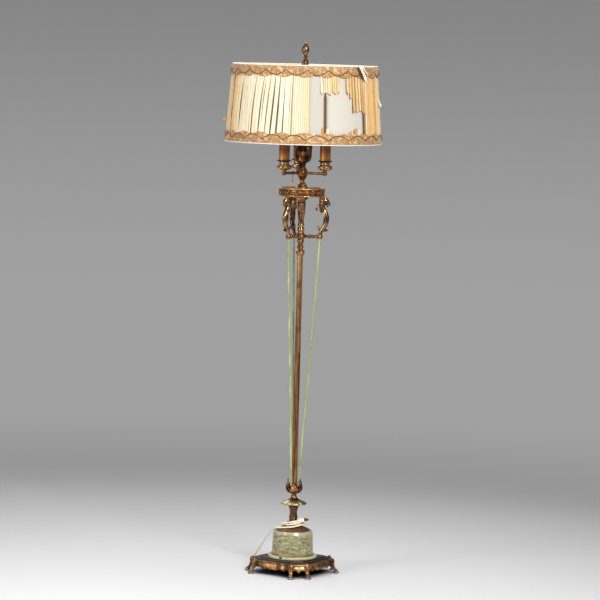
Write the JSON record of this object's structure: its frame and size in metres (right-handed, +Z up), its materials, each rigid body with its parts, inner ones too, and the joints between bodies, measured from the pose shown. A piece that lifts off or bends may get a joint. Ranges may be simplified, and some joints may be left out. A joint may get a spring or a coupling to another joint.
{
  "type": "floor lamp",
  "caption": "Floor lamp with an onyx drum base, slim column with leaning rods, candle arms round a centre socket, and a torn pleated drum shade on a harp.",
  "frame": {"origin": "on the floor, under the column's axis", "axes": "+Z up along the column; +Y away from the picture's camera, which stands 10 degrees to the left of -Y; the base's clipped corners lie on X and Y"},
  "size_m": [0.4755, 0.4756, 1.6096],
  "materials": {
    "gilt_bronze": "aged gilt bronze",
    "red_bronze": "reddish brown bronze",
    "dark_bronze": "blackened bronze",
    "onyx": "polished, mottled green and brown",
    "pale_stone": "polished pale green",
    "celadon": "pale green enamel",
    "candle": "brown orange, golden at the foot",
    "brass_fittings": "tarnished",
    "porcelain": "glazed",
    "knob": "black",
    "iron": "raw",
    "steel": "plain",
    "shade_wire": "white paint, worn",
    "lining": "plain weave",
    "silk": "pleated silk, torn",
    "braid": "scalloped gold braid",
    "piping": "white cord edging",
    "cord": "cream, matt",
    "bushing": "black",
    "plug": "cream moulded, metal blades"
  },
  "bodies": {
    "lamp": {"arm_1": "gilt_bronze", "arm_2": "gilt_bronze", "arm_3": "gilt_bronze", "arm_hub": "gilt_bronze", "base_casting": "gilt_bronze", "base_disc": "pale_stone", "base_nut": "steel", "base_washer": "steel", "base_weight": "iron", "candle_cups": "gilt_bronze", "candle_nipples": "brass_fittings", "candle_sockets": "porcelain", "chain_guide": "gilt_bronze", "column_cap": "gilt_bronze", "column_tube": "red_bronze", "cord_bushing": "bushing", "cord_coil": "cord", "cord_tail": "cord", "drum_cap": "red_bronze", "drum_collar": "red_bronze", "feed_lead": "cord", "figure_1": "gilt_bronze", "figure_2": "gilt_bronze", "figure_3": "gilt_bronze", "gallery_band": "gilt_bronze", "gallery_plate": "gilt_bronze", "harp_saddle": "brass_fittings", "leaf_cup": "gilt_bronze", "lower_stem": "gilt_bronze", "mogul_socket": "porcelain", "petal_dish": "gilt_bronze", "plug": "plug", "socket_husk": "dark_bronze", "socket_shells": "brass_fittings", "spindle": "gilt_bronze", "spoke_1": "gilt_bronze", "spoke_2": "gilt_bronze", "spoke_3": "gilt_bronze", "spoke_collar": "gilt_bronze", "stone_drum": "onyx", "tie_pipe": "iron", "tripod_rods": "celadon", "upper_stem": "gilt_bronze"},
    "harp": {"harp": "brass_fittings"},
    "ferrule_left": {"ferrule_left": "brass_fittings"},
    "ferrule_right": {"ferrule_right": "brass_fittings"},
    "shade": {"shade_rings": "shade_wire", "shade_ribs": "shade_wire", "shade_spider": "shade_wire", "shade_lining": "lining", "shade_cover": "silk", "shade_braid": "braid", "shade_piping": "piping"},
    "finial": {"finial": "gilt_bronze"},
    "candle_sleeve_1": {"candle_sleeve_1": "candle"},
    "candle_sleeve_2": {"candle_sleeve_2": "candle"},
    "candle_sleeve_3": {"candle_sleeve_3": "candle"},
    "turn_knob": {"turn_knob": "knob"},
    "pull_chain": {"pull_chain": "brass_fittings"}
  },
  "joints": [
    {"name": "harp_lift", "type": "slide", "parent": "lamp", "child": "harp", "axis": [0, 0, 1], "range_m": [0, 0.08]},
    {"name": "ferrule_left_lift", "type": "slide", "parent": "harp", "child": "ferrule_left", "axis": [0, 0, 1], "range_m": [0, 0.014]},
    {"name": "ferrule_right_lift", "type": "slide", "parent": "harp", "child": "ferrule_right", "axis": [0, 0, 1], "range_m": [0, 0.014]},
    {"name": "shade_turn", "type": "hinge", "parent": "harp", "child": "shade", "pos_m": [0, 0, 1.5293], "axis": [0, 0, 1], "continuous": true},
    {"name": "finial_turn", "type": "hinge", "parent": "harp", "child": "finial", "pos_m": [0, 0, 1.549], "axis": [0, 0, 1], "continuous": true},
    {"name": "candle_sleeve_1_lift", "type": "slide", "parent": "lamp", "child": "candle_sleeve_1", "axis": [0, 0, 1], "range_m": [0, 0.065]},
    {"name": "candle_sleeve_2_lift", "type": "slide", "parent": "lamp", "child": "candle_sleeve_2", "axis": [0, 0, 1], "range_m": [0, 0.065]},
    {"name": "candle_sleeve_3_lift", "type": "slide", "parent": "lamp", "child": "candle_sleeve_3", "axis": [0, 0, 1], "range_m": [0, 0.065]},
    {"name": "knob_turn", "type": "hinge", "parent": "lamp", "child": "turn_knob", "pos_m": [0, -0.042, 1.3262], "axis": [0, -1, 0], "continuous": true},
    {"name": "chain_pull", "type": "slide", "parent": "lamp", "child": "pull_chain", "axis": [0, 0, -1], "range_m": [0, 0.006], "stiffness_N_per_m": 150}
  ]
}
